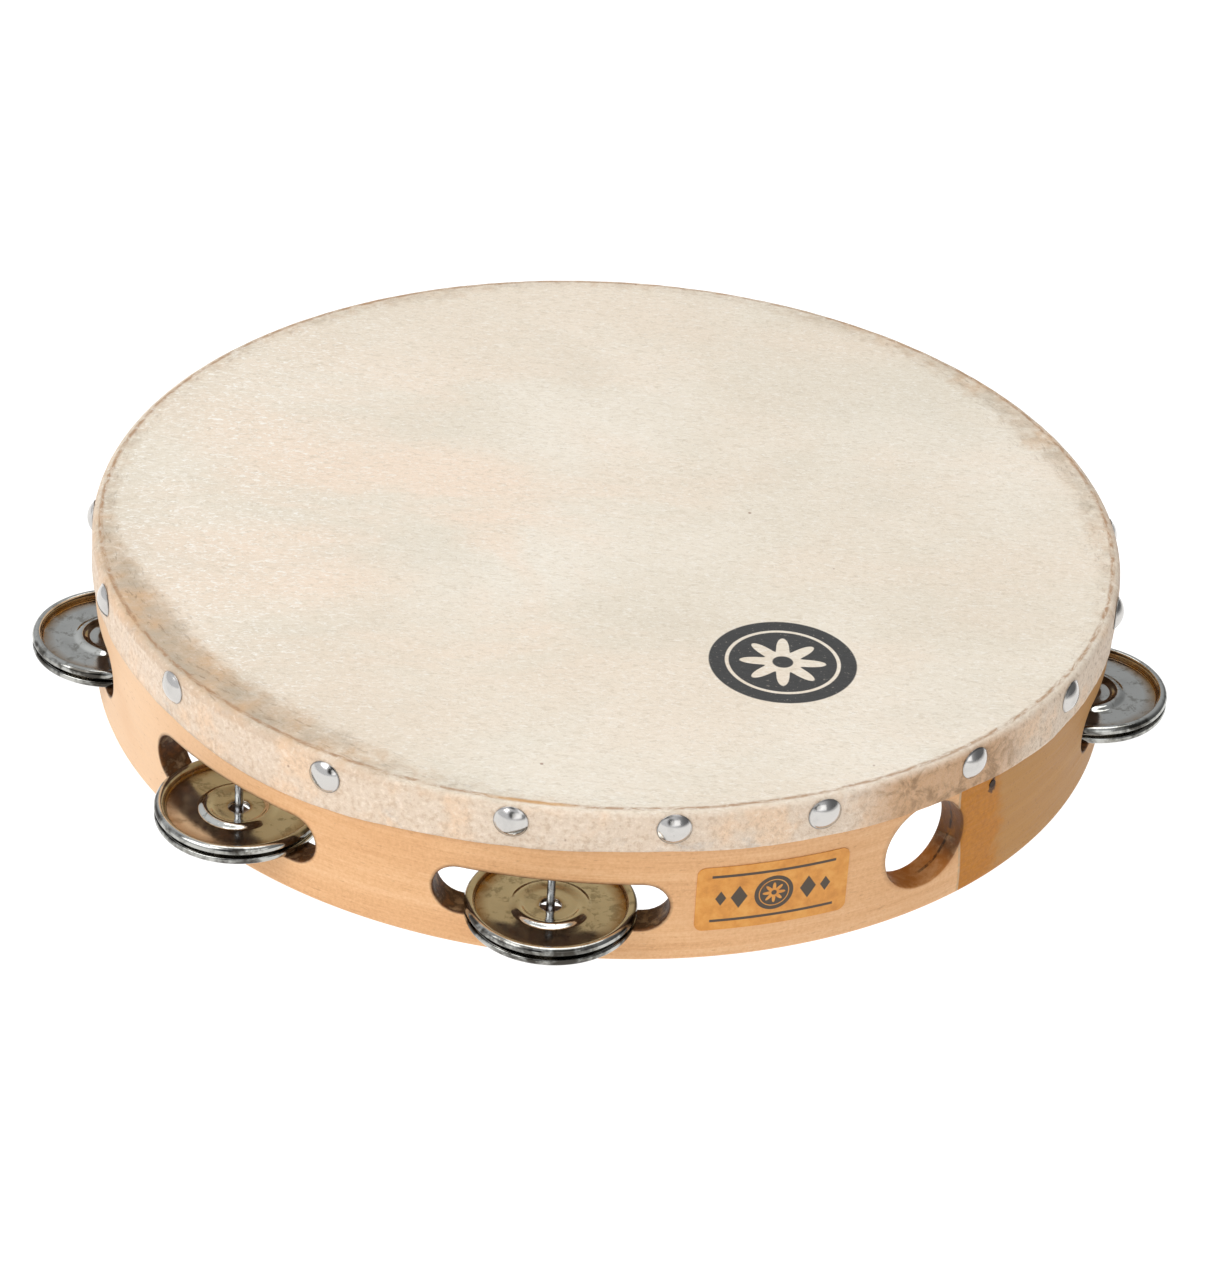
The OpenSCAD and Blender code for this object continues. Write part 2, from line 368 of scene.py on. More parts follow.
def hide():
    """Natural rawhide: cream with peach and grey-green clouds, felted fibres, stains, and the print."""
    m = Mat("rawhide", Roughness=0.62)
    x, y, z = m.split()
    deg, _ = m.turn()
    cloud = m.noise(m.mapped(location=(4, 1, 0)), 13.0, 4, 0.55, 0.3)
    peach = m.noise(m.mapped((1, 1.6, 1), (9, 5, 0)), 14.0, 4, 0.6, 0.4)
    green = m.noise(m.mapped(location=(2, 8, 3)), 21.0, 4, 0.6, 0.4)
    fibre = m.noise(m.mapped((380, 900, 900), rotation=(0, 0, 0.35)), 1.0, 6, 0.75, 1.2)
    tuft = m.noise(m.mapped((640, 1400, 1400), (3, 1, 0), (0, 0, -0.4)), 1.0, 4, 0.7, 0.8)
    pebble = m.noise(m.mapped(), 760.0, 4, 0.7)
    base = m.ramp(cloud, (0.3, (220, 208, 188)), (0.5, (228, 217, 198)), (0.7, (236, 226, 209)))
    # partly painted light: the peach clouds are real, but are made stronger towards the left, where warm light
    # falls
    left = m.band(m.length(m.add(x, 48 * MM), m.add(y, 5 * MM)), 95 * MM, 20 * MM, 0.35, 1.0)
    base = m.mix(m.times(left, m.band(peach, 0.4, 0.62, 0.0, 0.8)), base, (240, 217, 194))
    base = m.mix(m.band(green, 0.52, 0.76, 0.0, 0.25), base, (212, 208, 192))
    base = m.mix(m.band(fibre, 0.47, 0.68, 0.0, 0.5), base, (196, 181, 157))
    brushed = m.times(m.band(x, -45 * MM, -95 * MM, 0.45, 0.9), m.band(tuft, 0.5, 0.68))
    base = m.mix(brushed, base, (250, 246, 238))
    base = m.mix(m.band(pebble, 0.54, 0.72, 0.0, 0.22), base, (200, 183, 160))
    # stains near the fold: blotches broken up by the fibres, ochre in places, with fine dark hairs
    stained = m.attribute("stain")
    blot = m.noise(m.mapped(location=(6, 2, 0)), 240.0, 7, 0.74, 0.6)
    blotch = m.band(m.add(stained, m.times(m.minus(blot, 0.5), 1.3)), 0.26, 1.05, 0.0, 0.85)
    tint = m.noise(m.mapped(location=(1, 7, 2)), 95.0, 3, 0.6)
    dirt_and_shade = m.ramp(tint, (0.36, (174, 156, 132)), (0.5, (186, 160, 130)), (0.64, (196, 158, 116)))
    base = m.mix(blotch, base, dirt_and_shade)
    hair = m.noise(m.along_rim(900, 280, 3.0), 1.0, 4, 0.7, 0.6)
    base = m.mix(m.times(stained, m.band(hair, 0.54, 0.68, 0.0, 0.6)), base, (138, 112, 84))
    # the flap: peach and pebbled, with blue-grey smudges, and brown where glue and fingers marked it
    flap = m.attribute("flap")
    base = m.mix(m.times(flap, 0.55), base, (230, 201, 174))
    smudge = m.noise(m.mapped(location=(7, 7, 1)), 85.0, 5, 0.66, 0.4)
    base = m.mix(m.times(flap, m.band(smudge, 0.55, 0.74, 0.0, 0.55)), base, (182, 178, 174))
    glow = m.noise(m.mapped(location=(3, 9, 4)), 60.0, 4, 0.6)
    base = m.mix(m.times(flap, m.band(glow, 0.5, 0.66, 0.0, 0.6)), base, (240, 202, 164))
    base = m.mix(m.times(flap, m.band(pebble, 0.5, 0.64, 0.0, 0.5)), base, (200, 170, 140))
    base = m.mix(m.times(flap, m.band(pebble, 0.46, 0.34, 0.0, 0.5)), base, (250, 232, 212))
    handled = m.times(flap, m.times(m.band(deg, 27.0, 34.0), m.band(deg, 54.0, 45.0)))
    grime = m.noise(m.mapped(location=(8, 3, 6)), 150.0, 6, 0.74, 0.5)
    base = m.mix(m.times(handled, 0.75), base, (204, 154, 104))
    base = m.mix(m.times(handled, m.band(grime, 0.44, 0.6, 0.0, 0.8)), base, (150, 116, 80))
    dusty = m.times(flap, m.band(deg, 44.0, 60.0))
    base = m.mix(m.times(dusty, m.band(pebble, 0.54, 0.68, 0.0, 0.35)), base, (150, 138, 124))
    # the fold: a thin brown worn line, with an ochre smear at the front
    folded = m.band(m.attribute("fold"), 0.6, 1.0)
    base = m.mix(m.times(folded, m.band(hair, 0.38, 0.58, 0.12, 0.8)), base, (166, 124, 86))
    smear = m.times(m.times(folded, m.band(deg, -13.0, -7.0)), m.band(deg, 0.0, -4.0))
    base = m.mix(m.times(smear, 0.7), base, (208, 156, 92))
    speck = m.cells(m.mapped(location=(3, 3, 3)), 64.0)
    speckled = m.times(m.band(speck, 0.036, 0.016), m.band(green, 0.46, 0.5, 0.0, 0.7))
    base = m.mix(speckled, base, (138, 96, 70))
    base = m.mix(m.attribute("flesh_side"), base, m.mix(fibre, (150, 128, 86), (206, 186, 140)))
    ink = rosette_mask(m, m.minus(x, PRINT_X), m.minus(y, PRINT_Y), PRINT_R)
    ink = m.times(ink, m.band(z, TOP_Z - SKIN_T * 0.8, TOP_Z - SKIN_T * 0.6))
    worn = m.band(m.noise(m.mapped(), 900.0, 3, 0.7), 0.28, 0.4, 0.75, 0.97)
    base = m.mix(m.times(ink, worn), base, (38, 40, 42))
    rough = m.band(fibre, 0.3, 0.7, 0.55, 0.72)
    height = m.add(m.times(fibre, 0.5), m.add(m.times(tuft, 0.5), m.times(pebble, 0.6)))
    grained = m.bump(m.times(flap, pebble), 0.0005, 0.7)
    return m.finish(base, rough, m.bump(height, 0.00022, 0.8, grained))


def plated(name, tint, rough_low, rough_high):
    """Nickel-plated steel: polished, with faint wear and blotches, and where painted on the mesh, tarnish
    mixed with painted reflection of brown wood, and dirt mixed with painted shade and dark reflections.
    """
    m = Mat(name, Metallic=1.0)
    cloud = m.noise(m.mapped(), 160.0, 4, 0.6, 0.4)
    marks = m.noise(m.mapped((900, 5000, 900), rotation=(0, 0, 0.7)), 1.0, 3, 0.6)
    spots = m.noise(m.mapped(location=(5, 5, 5)), 700.0, 3, 0.7)
    patch = m.noise(m.mapped(location=(1, 9, 5)), 210.0, 4, 0.65, 0.5)
    blotch = m.noise(m.mapped(location=(6, 4, 8)), 240.0, 6, 0.72, 0.3)
    base = m.mix(m.band(cloud, 0.45, 0.75, 0.0, 0.5), tint, tuple(c * 0.88 for c in tint))
    base = m.mix(m.band(spots, 0.66, 0.8, 0.0, 0.5), base, tuple(c * 0.6 for c in tint))
    blotched = m.times(m.attribute("worn"), m.band(blotch, 0.52, 0.62, 0.0, 0.5))
    base = m.mix(blotched, base, (118, 112, 98))
    # tarnish mixed with painted reflection: an ochre-brown tint standing for the brown wood mirrored in the
    # jingle's inner wall
    tarnish_and_reflection = m.times(m.attribute("tarnish_and_reflection"), m.band(patch, 0.25, 0.6, 0.55, 1.1), clamp=True)
    base = m.mix(tarnish_and_reflection, base, m.mix(patch, (92, 62, 30), (190, 144, 76)))
    # painted shade and dark reflections, mixed with dirt: darker in patches in corners, on undersides, on the
    # lip's outer roll and round tack rims
    dirt_and_shade_patches = m.noise(m.mapped(location=(2, 5, 3)), 120.0, 4, 0.6, 0.3)
    base = m.mix(m.times(m.attribute("dirt_and_shade"), m.band(dirt_and_shade_patches, 0.4, 0.58, 0.3, 1.0)), base, (46, 41, 34))
    rough = m.add(m.band(cloud, 0.3, 0.8, rough_low, rough_high), m.band(marks, 0.6, 0.8, 0.0, 0.08))
    rough = m.add(rough, m.times(tarnish_and_reflection, 0.18))
    return m.finish(base, rough, m.bump(m.add(marks, cloud), 0.00001, 0.5))


def label_film(centre_az, centre_z):
    """Amber printed film with a generic pattern: a small rosette and diamonds between two rules."""
    m = Mat("label_film", Roughness=0.42)
    _, _, z = m.split()
    deg, _ = m.turn()
    u = m.times(m.minus(deg, math.degrees(centre_az)), math.radians(1) * HOOP_R)
    v = m.minus(z, centre_z)
    far, high = m.math("ABSOLUTE", u), m.math("ABSOLUTE", v)
    rules = m.times(m.band(m.math("ABSOLUTE", m.minus(high, 6.1 * MM)), 0.42 * MM, 0.3 * MM),
                    m.band(far, 15.0 * MM, 14.8 * MM))
    ink = m.math("MAXIMUM", rules, rosette_mask(m, u, v, 4.7 * MM))
    for place, half_w, half_h in ((8.3 * MM, 2.0 * MM, 3.1 * MM), (12.6 * MM, 1.3 * MM, 2.0 * MM)):
        slope = m.math("DIVIDE", m.math("ABSOLUTE", m.minus(far, place)), half_w)
        reach = m.add(slope, m.math("DIVIDE", high, half_h))
        ink = m.math("MAXIMUM", ink, m.band(reach, 1.06, 0.94))
    fade = m.noise(m.mapped(), 260.0, 5, 0.68)
    base = m.ramp(fade, (0.3, (196, 124, 38)), (0.5, (217, 145, 56)), (0.72, (229, 165, 80)))
    base = m.mix(m.times(ink, m.band(fade, 0.2, 0.4, 0.8, 0.97)), base, (58, 50, 38))
    return m.finish(base, m.band(fade, 0.3, 0.7, 0.36, 0.5), m.bump(fade, 0.00003, 0.5))


def dark_brad():
    m = Mat("brad_steel", Metallic=0.6)
    rust = m.noise(m.mapped(), 2500.0, 4, 0.6)
    base = m.ramp(rust, (0.35, (34, 26, 20)), (0.65, (74, 52, 36)))
    return m.finish(base, m.band(rust, 0.3, 0.7, 0.45, 0.75), m.bump(rust, 0.0001, 0.6))


HOOP_WOOD = wood()
HIDE = hide()
JINGLE_STEEL = plated("plated_steel", (214, 214, 208), 0.07, 0.16)
TACK_NICKEL = plated("tack_nickel", (202, 199, 195), 0.14, 0.22)
PIN_STEEL = plated("pin_steel", (186, 188, 192), 0.2, 0.35)


# ---------------------------------------------------------------- wooden hoop
HOLE_SIDE, HOLE_TOP = 16, 44          # points along a hole's rounded ends, and along its top and bottom
HOLE_RINGS = 12                       # rings of quads from a hole out to its panel's edge
WALL_BURN, EDGE_BURN = {"slot": 1.0, "thumb": 0.8}, {"slot": 0.55, "thumb": 0.25}
EDGE = 0.35 * MM                      # rounding of the hole's rim


def slot_outline(grow):
    """(t, z) round a jingle slot, grown outwards, starting at its upper left and going clockwise."""
    r = SLOT_H / 2 + grow
    flat = (SLOT_W - SLOT_H) / 2
    top = [(-flat + 2 * flat * k / HOLE_TOP, r) for k in range(HOLE_TOP)]
    right = [(flat + r * math.sin(math.pi * k / HOLE_SIDE), r * math.cos(math.pi * k / HOLE_SIDE))
             for k in range(HOLE_SIDE)]
    half = top + right
    return [(t, SLOT_Z + z) for t, z in half + [(-t, -z) for t, z in half]]


def thumb_outline(grow):
    """(t, z) round the thumb hole, in the same order and number of points as a slot."""
    r = THUMB_R + grow
    points = []
    for start, count in ((-135, HOLE_TOP), (-45, HOLE_SIDE), (45, HOLE_TOP), (135, HOLE_SIDE)):
        for k in range(count):
            a = math.radians(start + 90 * k / count)
            points.append((r * math.sin(a + math.radians(90)), r * math.cos(a + math.radians(90))))
    return [(t, THUMB_Z + z) for t, z in points]


def panel_outline(a0, a1, low, high):
    """(angle, z) round a panel's edge, in the same order."""
    top = [(a0 + (a1 - a0) * k / HOLE_TOP, high) for k in range(HOLE_TOP)]
    right = [(a1, high + (low - high) * k / HOLE_SIDE) for k in range(HOLE_SIDE)]
    bottom = [(a1 + (a0 - a1) * k / HOLE_TOP, low) for k in range(HOLE_TOP)]
    left = [(a0, low + (high - low) * k / HOLE_SIDE) for k in range(HOLE_SIDE)]
    return top + right + bottom + left


RIM_PROFILES = {
    "top": [(HOOP_R - FOLD_R + FOLD_R * math.cos(math.radians(a)),
             HOOP_TOP - FOLD_R + FOLD_R * math.sin(math.radians(a))) for a in (22, 45, 68, 90)]
           + [(HOOP_IN + 3 * MM, HOOP_TOP), (HOOP_IN + 0.8 * MM, HOOP_TOP),
              (HOOP_IN + 0.2 * MM, HOOP_TOP - 0.25 * MM), (HOOP_IN, HOOP_TOP - 0.8 * MM)],
    "bottom": [(HOOP_R - 0.2 * MM, 0.25 * MM), (HOOP_R - 0.8 * MM, 0.0), (HOOP_R - 3 * MM, 0.0),
               (HOOP_IN + 3 * MM, 0.0), (HOOP_IN + 0.8 * MM, 0.0), (HOOP_IN + 0.2 * MM, 0.25 * MM)],
}


def hoop_mesh():
    """The hoop: a panel of quads round each hole, outside and inside, walls in the holes, rounded rims."""
    places = sorted([(az, slot_outline) for az in STATION_AZ] + [(THUMB_AZ, thumb_outline)])
    count = 2 * (HOLE_TOP + HOLE_SIDE)
    low, high = 0.8 * MM, HOOP_TOP - FOLD_R
    verts, faces, burn = [], [], []
    for n, (az, outline) in enumerate(places):
        before = places[n - 1][0] - (2 * math.pi if n == 0 else 0)
        after = places[(n + 1) % len(places)][0] + (2 * math.pi if n == len(places) - 1 else 0)
        a0, a1 = (az + before) / 2 - az, (az + after) / 2 - az
        kind = "slot" if outline is slot_outline else "thumb"
        start = len(verts)

        def surface(r):
            """Rings from the hole's rim out to the panel's edge, at radius r."""
            rim = outline(EDGE)
            edge = panel_outline(a0, a1, low, high)
            rings = []
            for k in range(HOLE_RINGS + 1):
                w = (k / HOLE_RINGS) ** 1.35
                ring = []
                for (t, z), (a, ze) in zip(rim, edge):
                    angle = math.asin(t / r) * (1 - w) + a * w
                    ring.append(on_hoop(az + angle, r, z * (1 - w) + ze * w))
                rings.append(ring)
            return rings

        def wall():
            """Rings through the wood, with a small rounded edge at each face."""
            steps = [(0.0, EDGE * 0.3, EDGE * 0.3), (0.0, 0.0, EDGE)]
            depths = [(HOOP_R - d, g) for _, g, d in steps]
            depths += [(HOOP_R - WALL * k / 8, 0.0) for k in range(1, 8)]
            depths += [(HOOP_IN + d, g) for _, g, d in reversed(steps)]
            rings = []
            for r, grow in depths:
                rings.append([on_hoop(az + math.asin(t / r), r, z) for t, z in outline(grow)])
            return rings

        outer, inner, through = surface(HOOP_R), surface(HOOP_IN), wall()
        rings = list(reversed(outer)) + through + inner
        for k, ring in enumerate(rings):
            depth = k - len(outer)
            for p in ring:
                verts.append(p)
                if 0 <= depth < len(through):
                    burn.append(WALL_BURN[kind])
                elif depth == -1 or depth == len(through):
                    burn.append(EDGE_BURN[kind])
                else:
                    burn.append(0.0)
        for k in range(len(rings) - 1):
            for j in range(count):
                m = (j + 1) % count
                a, b = start + k * count, start + (k + 1) * count
                faces.append((a + j, a + m, b + m, b + j))
        # rims: from the outer panel edge (first ring) to the inner one (last ring)
        first, last = start, start + (len(rings) - 1) * count
        for side, begin in (("top", 0), ("bottom", HOLE_TOP + HOLE_SIDE)):
            columns = []
            for j in range(HOLE_TOP + 1):
                index = (begin + j) % count
                p = verts[first + index]
                angle = math.atan2(p.x, -p.y)
                column = [first + index]
                for r, z in RIM_PROFILES[side]:
                    column.append(len(verts))
                    verts.append(on_hoop(angle, r, z))
                    burn.append(0.0)
                column.append(last + index)
                columns.append(column)
            for left, right in zip(columns, columns[1:]):
                for k in range(len(left) - 1):
                    faces.append((left[k + 1], right[k + 1], right[k], left[k]))
    return verts, faces, burn


def build_hoop():
    verts, faces, burn = hoop_mesh()
    hoop = make_object("hoop_bent_wood", verts, faces, "drum", HOOP_WOOD, HOOP_NODES)
    paint(hoop, "burn", burn)
    weld(hoop)


# ---------------------------------------------------------------- skin head
SKIN_TURNS = 720


def hump(deg, centre, width):
    """A smooth hump of height 1 round the hoop, centred on an angle in degrees."""
    away = (deg - centre + 180) % 360 - 180
    return math.exp(-(away / width) ** 2)


def flap_edge(az):
    """Height of the flap's cut edge: hand-cut, longer at the front left, short over the thumb hole."""
    deg = math.degrees(az)
    wave = 0.3 * math.sin(3 * az + 1) + 0.25 * math.sin(7 * az) + 0.12 * math.sin(17 * az + 0.3)
    return FLAP_Z + (wave - 3.2 * hump(deg, -36, 16) - 0.9 * hump(deg, 62, 12) - 0.5) * MM \
        + 0.75 * MM * hump(deg, 38, 9) + 0.5 * MM * hump(deg, 4, 14)


def stain_at(az, inward):
    """How stained the head is at an angle and a distance in from its edge: most at the front left."""
    deg = math.degrees(az)
    strength = 0.30 + 0.72 * hump(deg, -54, 36) + 0.40 * hump(deg, 118, 42) + 0.28 * hump(deg, -148, 40)
    reach = (2.4 + 9.5 * hump(deg, -50, 34) + 6.0 * hump(deg, 118, 40) + 3 * hump(deg, -148, 40)) * MM
    reach *= 1 + 0.35 * wobble(on_hoop(az, SKIN_R, 0), 30, 4)
    return strength * (1 - smooth((inward - 0.35 * reach) / (1.3 * reach)))


# rows of the skin's outline: (stretch, place along it from 0 to 1)
SKIN_ROWS = [("top", k / 60) for k in range(1, 61)] + [("fold", k / 8) for k in range(1, 9)] \
    + [("flap", k / 14) for k in range(1, 15)] + [("edge", 1.0)] \
    + [("flap_in", 1 - k / 5) for k in range(0, 5)] + [("fold_in", 1 - k / 3) for k in range(1, 4)] \
    + [("under", 1 - k / 12) for k in range(1, 12)]
SKIN_BEND = FOLD_R + 0.05 * MM
SKIN_FLAT_R = HOOP_R - FOLD_R
SKIN_FOLD_Z = TOP_Z - SKIN_BEND - SKIN_T


def skin_point(kind, s, az):
    """A point of the skin, and its stain, fold, flap and flesh-side paint."""
    rim_point = on_hoop(az, SKIN_R, 0)
    stain = fold = flap = 0.0
    if kind in ("top", "under"):
        r = SKIN_FLAT_R * s
        p = on_hoop(az, r, 0)
        rim = smooth((s - 0.9) / 0.1)
        dome = 0.06 * wobble(p, 22, 5) + 0.03 * wobble(p, 70, 1)
        z = TOP_Z + (dome * (1 - rim) + rim * 0.10 * wobble(p, 260, 2) - 0.06) * MM
        z -= SKIN_T if kind == "under" else 0
        stain = stain_at(az, SKIN_FLAT_R - r)
        fold = smooth((s - 0.985) / 0.015)
    elif kind in ("fold", "fold_in"):
        a = math.radians(90 * (1 - s))
        rad = SKIN_BEND + (SKIN_T if kind == "fold" else 0)
        ripple = 0.10 * wobble(rim_point + Vector((0, 0, s * 3 * MM)), 260, 2) * MM * (1 - s)
        r = SKIN_FLAT_R + (rad + ripple) * math.cos(a)
        z = SKIN_FOLD_Z + (rad + ripple) * math.sin(a) - 0.06 * MM * (1 - s)
        stain, fold, flap = stain_at(az, 0), 1 - smooth(s * 1.6), smooth(s)
    else:
        tack = min(abs(around(az - t)) for t in TACK_AZ) * SKIN_R
        pull = math.exp(-(tack / (5 * MM)) ** 2)
        low = flap_edge(az)
        z = SKIN_FOLD_Z + (low - SKIN_FOLD_Z) * s - (0.12 * MM if kind == "edge" else 0)
        out = smooth(s) * (0.32 + 0.25 * wobble(rim_point, 90, 6)) * (1 - pull)
        pucker = 0.10 * wobble(rim_point, 160, 3) + 0.07 * wobble(rim_point, 420, 8)
        relief = (pucker * (0.4 + s) + 0.1) * (1 - 0.7 * pull)
        frayed = 0.06 * wobble(rim_point, 900, 1) * smooth((s - 0.8) / 0.2)
        inward = SKIN_T * {"flap": 0, "edge": 0.5, "flap_in": 1}[kind]
        r = SKIN_R - inward + max(out + relief, 0.0) * 0.6 * MM + frayed * MM
        stain = stain_at(az, 0) * (0.35 + 0.25 * smooth((s - 0.75) / 0.25))
        flap = 1.0
    return on_hoop(az, r, z), stain, fold, flap, 1.0 if kind in ("under", "fold_in", "flap_in") else 0.0


def build_skin():
    angles = [-math.pi + 2 * math.pi * j / SKIN_TURNS for j in range(SKIN_TURNS)]
    points = [skin_point(kind, s, az) for kind, s in SKIN_ROWS for az in angles]
    middle_z = TOP_Z - 0.06 * MM
    points.append((Vector((0, 0, middle_z)), 0.0, 0.0, 0.0, 0.0))
    points.append((Vector((0, 0, middle_z - SKIN_T)), 0.0, 0.0, 0.0, 1.0))
    faces = ring_faces(len(SKIN_ROWS), SKIN_TURNS)
    last = (len(SKIN_ROWS) - 1) * SKIN_TURNS
    for j in range(SKIN_TURNS):
        n = (j + 1) % SKIN_TURNS
        faces.append((len(points) - 2, j, n))
        faces.append((len(points) - 1, last + j, last + n))
    verts, *paints = zip(*points)
    skin = make_object("head_rawhide", verts, faces, "drum", HIDE, ["head_skin"])
    for name, values in zip(("stain", "fold", "flap", "flesh_side"), paints):
        paint(skin, name, values)
    weld(skin)


# ---------------------------------------------------------------- turned parts
def lathe(profile, turns, place, closed=False):
    """Points and faces of a profile (r, h) turned about an axis. place(r, angle, h) gives the point."""
    verts = [place(r, 2 * math.pi * j / turns, h) for r, h in profile for j in range(turns)]
    return verts, ring_faces(len(profile), turns, closed)


def arc(cr, cz, radius, start, end, steps):
    """Points of an arc about (cr, cz), from one angle in degrees to another."""
    angles = [math.radians(start + (end - start) * k / steps) for k in range(steps + 1)]
    return [(cr + radius * math.cos(a), cz + radius * math.sin(a)) for a in angles]


def sheet_profile(middle, thickness):
    """Closed outline of sheet metal round a middle line, with both cut edges rounded."""
    left, right = [], []
    for i, (r, z) in enumerate(middle):
        before, after = middle[max(i - 1, 0)], middle[min(i + 1, len(middle) - 1)]
        d = Vector((after[0] - before[0], after[1] - before[1])).normalized()
        left.append((r - d.y * thickness / 2, z + d.x * thickness / 2))
        right.append((r + d.y * thickness / 2, z - d.x * thickness / 2))

    def cap(end, inward):
        d = Vector((end[0] - inward[0], end[1] - inward[1])).normalized() * thickness / 2
        return [(end[0] + d.x * c - d.y * s, end[1] + d.y * c + d.x * s)
                for c, s in ((0.7, 0.7), (1.0, 0.0), (0.7, -0.7))]

    return left + cap(middle[-1], middle[-2]) + right[::-1] + cap(middle[0], middle[1])


JINGLE_R = (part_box("upper_jingle_1")[1].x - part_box("upper_jingle_1")[0].x) / 2
JINGLE_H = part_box("upper_jingle_1")[1].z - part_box("upper_jingle_1")[0].z
SHEET_T = 0.5 * MM
JINGLE_TURNS = 144


def jingle_profile():
    """Stamped jingle, cup up: centre hole, raised ring, flat floor, corner and rolled lip."""
    floor_z = SHEET_T / 2
    lip_r = 0.95 * MM
    lip_z = JINGLE_H - SHEET_T / 2 - lip_r
    lip_pos = JINGLE_R - SHEET_T / 2 - lip_r
    corner_r = 0.85 * MM
    corner_pos = lip_pos - lip_r - corner_r
    boss_in, boss_out, boss_h = 5.6 * MM, 9.8 * MM, 0.8 * MM
    middle = [(PIN_HOLE_R, floor_z), (3.6 * MM, floor_z), (4.8 * MM, floor_z)]
    middle += [(boss_in + (boss_out - boss_in) * k / 16,
                floor_z + boss_h * (1 - math.cos(2 * math.pi * k / 16)) / 2) for k in range(17)]
    middle += [(11.5 * MM, floor_z), (14 * MM, floor_z)]
    middle += arc(corner_pos, floor_z + corner_r, corner_r, -90, -6, 8)
    middle += arc(lip_pos, lip_z, lip_r, 172, -25, 18)
    return sheet_profile(middle, SHEET_T)


def jingle_tarnish_and_reflection(r, h, a):
    """Painted reflection and tarnish: a brown tint on the inner wall under the lip stands for the mirrored
    wood, and tarnish gathers round the hole.
    """
    corner = math.exp(-((r - 17.0 * MM) / (0.8 * MM)) ** 2) * smooth((h - 0.2 * MM) / (0.3 * MM))
    corner *= 1 - smooth((h - 1.7 * MM) / (0.4 * MM))
    hole = 0.5 * math.exp(-((r - PIN_HOLE_R) / (0.4 * MM)) ** 2)
    return min(corner * (0.85 + 0.15 * math.sin(3 * a)) + hole, 1.0)


def jingle_painted_shade(underneath, r):
    """Painted shade and dark reflections: darker on the underside, in the corner under the lip, and on the
    outer side of the lip.
    """
    if underneath:
        return 0.8 if r > 17.5 * MM else 0.5
    corner = 0.3 * math.exp(-((r - 17.4 * MM) / (0.5 * MM)) ** 2)
    return corner + 0.95 * smooth((r - 18.7 * MM) / (0.6 * MM))


def build_jingle(name, station, upper):
    node = f"{name}_jingle_{station}"
    low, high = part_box(node)
    centre = Vector(((low.x + high.x) / 2, (low.y + high.y) / 2, 0))
    seed = station * 3.1 + (1 if upper else 2)

    def place(r, a, h):
        flat = Vector((r * math.cos(a), r * math.sin(a), 0))
        warp = 0.05 * MM * wobble(flat, 60, seed) * smooth(r / (6 * MM))
        z = low.z + h + warp if upper else high.z - h + warp
        return centre + flat + Vector((0, 0, z))

    profile = jingle_profile()
    verts, faces = lathe(profile, JINGLE_TURNS, place, closed=True)
    obj = make_object(f"jingle_{name}_{station}", verts, faces, node, JINGLE_STEEL, [node])
    half = len(profile) // 2
    tarnish_and_reflection, dirt_and_shade, worn = [], [], []
    # each point's tarnish with painted reflection, its painted shade and dark reflections, and its wear
    for k, (r, h) in enumerate(profile):
        for j in range(JINGLE_TURNS):
            tarnish_and_reflection.append(jingle_tarnish_and_reflection(r, h, 2 * math.pi * j / JINGLE_TURNS))
            dirt_and_shade.append(jingle_painted_shade(k >= half, r))
            worn.append(0.0 if k >= half else 1.0)
    for layer, values in (("tarnish_and_reflection", tarnish_and_reflection), ("dirt_and_shade", dirt_and_shade), ("worn", worn)):
        paint(obj, layer, values)
    weld(obj)


def build_tacks():
    """Domed tacks: thin-edged heads that each sit a little differently, and shanks into the wood."""
    verts, faces, dirt_and_shade = [], [], []
    dome_r = (TACK_R ** 2 + TACK_DOME ** 2) / (2 * TACK_DOME)
    reach = math.degrees(math.asin(TACK_R / dome_r))
    profile = [(0.0005 * MM, TACK_DOME)] + arc(0, TACK_DOME - dome_r, dome_r, 89, 90 - reach + 3, 14)
    profile += [(TACK_R - 0.05 * MM, 0.16 * MM), (TACK_R - 0.12 * MM, 0.02 * MM), (TACK_R - 0.4 * MM, 0.0)]
    profile += [(0.75 * MM, 0.02 * MM), (0.6 * MM, -0.5 * MM), (0.45 * MM, -4 * MM), (0.1 * MM, -7 * MM)]
    for n, az in enumerate(TACK_AZ):
        start = len(verts)
        out = on_hoop(az, 1, 0)
        side = Vector((math.cos(az), math.sin(az), 0))
        foot = on_hoop(az, SKIN_R + 0.05 * MM, TACK_Z + TACK_RISE[n] * MM)
        tilt = 0.05 * noise.noise(Vector((n * 5.3, 0, 0)))
        lean = 0.05 * noise.noise(Vector((0, n * 4.1, 0)))
        size = 1 + 0.02 * noise.noise(Vector((0, 0, n * 3.7)))

        def place(r, a, h):
            u, v = r * math.cos(a) * size, r * math.sin(a) * size
            rise = h + (tilt * u + lean * v if h > 0.3 * MM else 0)
            return foot + side * u + Vector((0, 0, v)) + out * rise

        v, f = lathe(profile, 48, place)
        verts += v
        faces += [tuple(i + start for i in face) for face in f]
        # painted shade with some dirt: each head darkens towards its rim, where it meets the skin
        dirt_and_shade += [smooth((r / TACK_R - 0.9) / 0.08) * 0.7 for r, _ in profile for _ in range(48)]
    obj = make_object("tacks_domed", verts, faces, "drum", TACK_NICKEL, ["tacks"])
    paint(obj, "dirt_and_shade", dirt_and_shade)
    weld(obj)


# ---------------------------------------------------------------- build
build_hoop()
build_skin()
build_tacks()
for station in STATIONS:
    build_jingle("lower", station, False)
    build_jingle("upper", station, True)
    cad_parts[f"pin_{station}"].data.materials.clear()
    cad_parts[f"pin_{station}"].data.materials.append(PIN_STEEL)
label_centre = centre_of("hoop_label")
LABEL_FILM = label_film(azimuth_of(label_centre), label_centre.z)
for node, material in (("hoop_label", LABEL_FILM), ("lap_brad", dark_brad())):
    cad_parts[node].data.materials.clear()
    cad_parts[node].data.materials.append(material)


